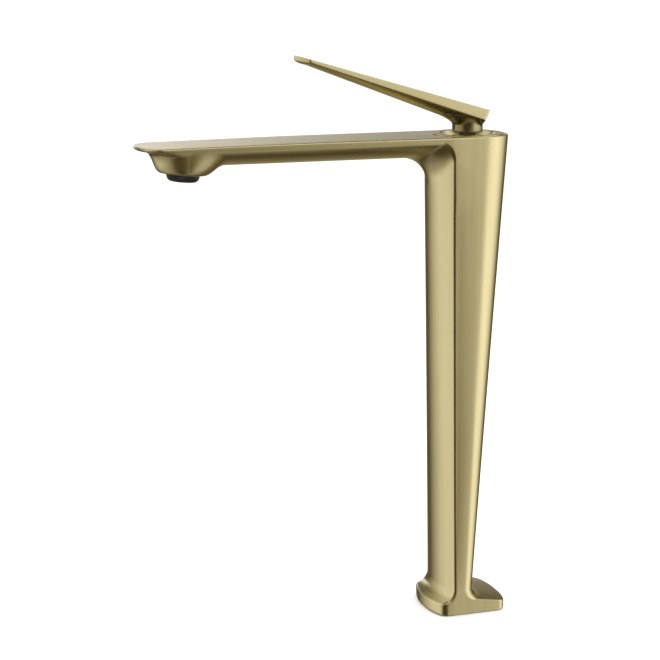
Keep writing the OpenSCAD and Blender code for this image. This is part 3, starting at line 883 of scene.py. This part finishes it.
def build_lever():
    mesh = bmesh.new()
    tip_turn, back_turn = 0.7, 1.4
    tip = []
    for place in end_outline(END_HALF, END_CORNER, END_BOW, tip_turn, -1, BLADE_STEPS, END_APEX):
        aside = clamp(abs(place[0]) / END_HALF)
        tip.append(blade_rib(*place, inward=mix(*TIP_INWARD, aside), upward=mix(*TIP_UPWARD, aside)))
    back = [blade_rib(*p) for p in end_outline(ROOT_HALF, BACK_Y, BACK_BOW, back_turn, 1, BLADE_STEPS)]
    sections = []
    for y in steps(BACK_Y - back_turn, END_CORNER + tip_turn, 60):
        rib = blade_rib(blade_half(y), y, 1, 0)
        row = [Vector((x, rib[0].y, 0)) for x in steps(0, rib[0].x, BLADE_STEPS)[:-1]]
        for p in row:
            p.z = blade_under(p.x, p.y)
        sections.append(row + rib)
    add_grid(mesh, sections)
    blade_end(mesh, sections[0], back, 4)
    blade_end(mesh, sections[-1], tip, 10)
    chain = [rib[-1] for rib in back + sections[1:-1] + tip[::-1]]
    top_cap(mesh, chain, blade_top, BLADE_EDGE)
    blade = finish_mesh(mesh, "lever_blade", "lever", ["lever_handle"], GOLD_OUT)
    # The downward faces get the darker copy of the gold, which is painted shade.
    blade.data.materials.append(GOLD_UNDER_SHADED)
    for face in blade.data.polygons:
        face.material_index = 1 if face.normal.z < SHADED_UNDER_NORMAL else 0
    keep_flats_flat(blade)


STEM_RAYS = 96
STEM_CHAMFER = 0.6
# How far the blend spreads towards the front and the back, and to the sides.
BLEND_FRONT, BLEND_BACK, BLEND_SIDE = 21.0, 9.9, 11.5
# Behind the stem the blend stays above these heights, as the blade's underside dips there.
BLEND_END_Z, BLEND_KNEE_Z = TOP + 10.2, TOP + 9.2
STEM_WALL_TOP = TOP + 5.4
STEM_APEX = (0, -4, TOP + 14)
PLUG_HOLE = [(0, 8.0), (2.45, 8.0), (2.45, 9.5), (2.85, 9.9), (2.85, 12), (0, 12)]


def build_stem():
    """The round stem, and the blend that spreads from it to the underside of the blade."""
    mesh = bmesh.new()
    rays = []
    for i in range(STEM_RAYS + 1):
        angle = 2 * math.pi * i / STEM_RAYS
        out = Vector((math.cos(angle), math.sin(angle), 0))
        middle = Vector((0, 0, STEM_BOTTOM))
        ray = [middle]
        ray += rounded(out * (STEM_R - STEM_CHAMFER) + middle, out * STEM_R + middle,
                       out * STEM_R + middle + Vector((0, 0, STEM_CHAMFER)), 4)
        reach_y = mix(BLEND_FRONT, BLEND_BACK, smooth(-0.7, 0.8, out.y))
        end = Vector((BLEND_SIDE * out.x, reach_y * out.y, 0))
        behind = smooth(0.1, 0.7, out.y)
        end.z = max(blade_under(end.x, end.y) + 0.12, BLEND_END_Z * behind)
        knee = out * STEM_R
        knee.z = max(blade_under(knee.x, knee.y) - 0.4, BLEND_KNEE_Z * behind)
        start = Vector((knee.x, knee.y, min(STEM_WALL_TOP, knee.z - 1.2)))
        ray += [mix(ray[-1], start, t) for t in steps(0, 1, 4)[1:]]
        ray += rounded(start, knee, end, 14)[1:]
        ray.append(Vector(STEM_APEX))
        rays.append(ray)
    add_grid(mesh, [[ray[step] for ray in rays] for step in range(len(rays[0]))], mirrored=False)
    # The stem takes the darker copy of the gold, which is painted shade.
    stem = finish_mesh(mesh, "lever_stem", "lever", [], GOLD_STEM_SHADED)
    plug_low, plug_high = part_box("index_plug")
    plug = (plug_low + plug_high) / 2 / MM
    axis = Matrix.Translation((0, 0, plug.z)) @ Matrix.Rotation(math.pi / 2, 4, "X")
    cut(stem, [turned_cutter(PLUG_HOLE, 48, axis)])
    keep_flats_flat(stem)


build_lever()
build_stem()


# ---- Trim ----------------------------------------------------------------------------------
RING_TOP = TOP + 0.45
RING_UNDER = TOP - 1.8
DISH_FLOOR = TOP - 4.7
DISH_UNDER = DISH_FLOOR - 1.2
SKIRT_R, HOLE_R, DISH_FLOOR_R, DISH_TOP_R = 18.8, 12.6, 15.3, 17.5


def build_trim_ring():
    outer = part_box("trim_ring")[1].x / MM
    corners = [(outer, RING_TOP), (outer, RING_UNDER), (SKIRT_R, RING_UNDER), (SKIRT_R, DISH_UNDER),
               (HOLE_R, DISH_UNDER), (HOLE_R, DISH_FLOOR), (DISH_FLOOR_R, DISH_FLOOR), (DISH_TOP_R, RING_TOP)]
    mesh = bmesh.new()
    add_grid(mesh, lathe_rows(turned_profile(corners, 0.4), 128), mirrored=False)
    ring = finish_mesh(mesh, "trim_ring_turned", "body", ["trim_ring"], GOLD_ROUND)
    keep_flats_flat(ring)


CAGE_RIBS = 60
RIB_DEPTH = 0.34
CAGE_DROP, CAGE_DEPTH = 4.6, 9.3
CAGE_R, CAGE_BORE_R, CAGE_MOUTH_R = 10.2, 8.6, 7.4
# The rounded bottom edge: how far in, and how far up.
CAGE_EDGE_RUN, CAGE_EDGE_RISE = 2.7, 3.3


def ribbed(r, z, angle):
    """The cage's radius with its ribs, which only the outer wall below the boss has."""
    if r < CAGE_R - 0.9 or z > -0.2:
        return r
    wave = 0.5 + 0.5 * math.cos(angle * CAGE_RIBS)
    return r - RIB_DEPTH * (1 - wave ** 0.6)


def build_aerator_cage():
    bottom = -CAGE_DROP
    ledge = [(CAGE_MOUTH_R, bottom + 0.5), (CAGE_MOUTH_R, bottom)]
    turned = rounded(Vector((CAGE_R - CAGE_EDGE_RUN, bottom)), Vector((CAGE_R - 0.7, bottom + 0.2)),
                     Vector((CAGE_R, bottom + CAGE_EDGE_RISE)), 8)
    wall = [(CAGE_R, z) for z in steps(bottom + CAGE_EDGE_RISE, -0.3, 4)]
    inside = [(CAGE_R, -0.1), (CAGE_R, CAGE_DEPTH), (CAGE_BORE_R, CAGE_DEPTH), (CAGE_BORE_R, bottom + 0.5)]
    profile = ledge + [tuple(p) for p in turned[:-1]] + wall + inside + ledge[:1]
    mesh = bmesh.new()
    add_grid(mesh, lathe_rows(profile, CAGE_RIBS * 8, outlet_frame(), ribbed), mirrored=False)
    black = MATERIALS["black_plastic"]
    finish_mesh(mesh, "aerator_cage", "body", ["aerator_housing"], black)


build_trim_ring()
build_aerator_cage()


# ---- Studio --------------------------------------------------------------------------------
def build_floor():
    bpy.ops.mesh.primitive_plane_add(size=24, location=(0, 0, -0.0005))
    floor = bpy.context.object
    floor.name = "floor"
    nodes = Nodes("pale_floor")
    nodes.shader.inputs["Base Color"].default_value = (0.93, 0.93, 0.93, 1)
    nodes.shader.inputs["Roughness"].default_value = 0.9
    nodes.shader.inputs["Specular IOR Level"].default_value = 0.0
    floor.data.materials.append(nodes.material)
    floor.visible_glossy = False


def ramp_of(tree, stops):
    """A colour ramp from stops of (azimuth in degrees, level)."""
    ramp = tree.nodes.new("ShaderNodeValToRGB")
    elements = ramp.color_ramp.elements
    while len(elements) < len(stops):
        elements.new(0.5)
    for element, (degrees, level) in zip(elements, stops):
        element.position = (degrees + 180) / 360
        element.color = warm(level)
    return ramp


def warm(level):
    """The studio's dark flags are brown cloth, its bright panels are white."""
    bright = clamp(level / 0.9)
    return (level, level * mix(0.82, 1.0, bright), level * mix(0.30, 1.0, bright), 1)


# Brightness by azimuth in degrees (0 is +X, 90 is +Y), as the metal sees it: level with it and
# lower, above it, and in the bright strip just over the horizon.
PANELS_LEVEL = [
    (-180, 0.03), (-168, 0.08), (-148, 0.62), (-126, 1.05), (-100, 1.0), (-84, 0.88), (-66, 0.62),
    (-54, 0.09), (-40, 0.03), (-2, 0.04), (12, 0.18), (20, 0.37), (27, 0.95), (35, 1.5), (64, 1.5),
    (88, 1.0), (106, 0.42), (120, 0.10), (136, 0.03), (150, 0.32), (160, 0.42), (170, 0.38),
    (178, 0.08), (180, 0.03)]
PANELS_ABOVE = [
    (-180, 0.10), (-162, 0.14), (-143, 0.60), (-126, 1.05), (-84, 1.0), (-60, 0.6), (-42, 0.15),
    (-15, 0.15), (0, 0.75), (20, 1.1), (42, 1.6), (60, 1.6), (90, 1.0), (112, 0.4), (132, 0.12),
    (180, 0.10)]
STRIP_SHARE = [
    (-180, 1.05), (-170, 0.9), (-155, 0), (125, 0), (142, 0.14), (157, 0.34), (161, 0.46),
    (166, 0.86), (170, 1.05), (180, 1.05)]
STRIP_LEVEL = 1.9
CEILING = (0.78, 0.75, 0.67)
CEILING_MIDDLE = (0.12, 0.11, 0.08)
FLOOR_GLOW = (0.095, 0.078, 0.040)
FLOOR_SHARE, PIT_SHARE = 0.40, 0.55
SWEEP_STRENGTH = 1.15
# Elevations in degrees over which one part of the studio takes over from the next.
ABOVE_STARTS = (-3, 8)
STRIP_STARTS, STRIP_ENDS = (0, 4), (12, 9)
CEILING_STARTS, MIDDLE_STARTS = (28, 46), (58, 72)
FLOOR_STARTS, GLOW_STARTS, PIT_STARTS = (-20, -48), (-22, -42), (-48, -74)


def build_world():
    """White sweep for the camera, with panels and dark flags around it for the metal to reflect."""
    world = bpy.data.worlds.new("studio")
    bpy.context.scene.world = world
    world.use_nodes = True
    tree = world.node_tree
    tree.nodes.clear()
    link = tree.links.new
    coordinates = tree.nodes.new("ShaderNodeTexCoord")
    split = tree.nodes.new("ShaderNodeSeparateXYZ")
    link(coordinates.outputs["Generated"], split.inputs[0])
    turn = tree.nodes.new("ShaderNodeMath")
    turn.operation = "ARCTAN2"
    link(split.outputs["Y"], turn.inputs[0])
    link(split.outputs["X"], turn.inputs[1])
    share = tree.nodes.new("ShaderNodeMapRange")
    share.inputs["From Min"].default_value = -math.pi
    share.inputs["From Max"].default_value = math.pi
    link(turn.outputs[0], share.inputs["Value"])
    around, above, behind = [ramp_of(tree, stops) for stops in (PANELS_LEVEL, PANELS_ABOVE, STRIP_SHARE)]
    for ramp in (around, above, behind):
        link(share.outputs["Result"], ramp.inputs["Fac"])

    def rise(start, end):
        """0 to 1 as the elevation goes from start to end, in degrees."""
        amount = tree.nodes.new("ShaderNodeMapRange")
        amount.interpolation_type = "SMOOTHSTEP"
        amount.inputs["From Min"].default_value = math.sin(math.radians(start))
        amount.inputs["From Max"].default_value = math.sin(math.radians(end))
        link(split.outputs["Z"], amount.inputs["Value"])
        return amount.outputs["Result"]

    def blend(kind, fac, below, level):
        """Mixes a grey level, a colour or a node's output over what lies below."""
        node = tree.nodes.new("ShaderNodeMixRGB")
        node.blend_type = kind
        link(fac, node.inputs["Fac"])
        link(below, node.inputs["Color1"])
        if isinstance(level, float):
            node.inputs["Color2"].default_value = (level, level, level, 1)
        elif isinstance(level, tuple):
            node.inputs["Color2"].default_value = (*level, 1)
        else:
            link(level, node.inputs["Color2"])
        return node.outputs["Color"]

    colour = blend("MIX", rise(*ABOVE_STARTS), around.outputs["Color"], above.outputs["Color"])
    strip = tree.nodes.new("ShaderNodeMath")
    strip.operation = "MULTIPLY"
    link(rise(*STRIP_STARTS), strip.inputs[0])
    link(rise(*STRIP_ENDS), strip.inputs[1])
    window = tree.nodes.new("ShaderNodeMath")
    window.operation = "MULTIPLY"
    link(strip.outputs[0], window.inputs[0])
    link(behind.outputs["Color"], window.inputs[1])
    colour = blend("MIX", window.outputs[0], colour, STRIP_LEVEL)
    colour = blend("MIX", rise(*CEILING_STARTS), colour, CEILING)
    colour = blend("MIX", rise(*MIDDLE_STARTS), colour, CEILING_MIDDLE)
    colour = blend("MULTIPLY", rise(*FLOOR_STARTS), colour, FLOOR_SHARE)
    colour = blend("ADD", rise(*GLOW_STARTS), colour, FLOOR_GLOW)
    colour = blend("MULTIPLY", rise(*PIT_STARTS), colour, PIT_SHARE)
    studio = tree.nodes.new("ShaderNodeBackground")
    link(colour, studio.inputs["Color"])
    sweep = tree.nodes.new("ShaderNodeBackground")
    sweep.inputs["Color"].default_value = (1, 1, 1, 1)
    sweep.inputs["Strength"].default_value = SWEEP_STRENGTH
    path = tree.nodes.new("ShaderNodeLightPath")
    choose = tree.nodes.new("ShaderNodeMixShader")
    link(path.outputs["Is Glossy Ray"], choose.inputs["Fac"])
    link(sweep.outputs[0], choose.inputs[1])
    link(studio.outputs[0], choose.inputs[2])
    out = tree.nodes.new("ShaderNodeOutputWorld")
    link(choose.outputs[0], out.inputs["Surface"])


def add_light(name, place, aim, size, power):
    data = bpy.data.lights.new(name, "AREA")
    data.shape = "RECTANGLE"
    data.size, data.size_y = size
    data.energy = power
    light = bpy.data.objects.new(name, data)
    bpy.context.scene.collection.objects.link(light)
    light.location = place
    direction = Vector(aim) - Vector(place)
    light.rotation_mode = "QUATERNION"
    light.rotation_quaternion = direction.to_track_quat("-Z", "Y")
    light.visible_camera = False
    light.visible_glossy = False


build_floor()
build_world()
add_light("top_softbox", (0.2, -0.1, 2.4), (0, -0.05, 0.1), (2.6, 2.6), 30)
bpy.context.scene.view_settings.view_transform = "Standard"
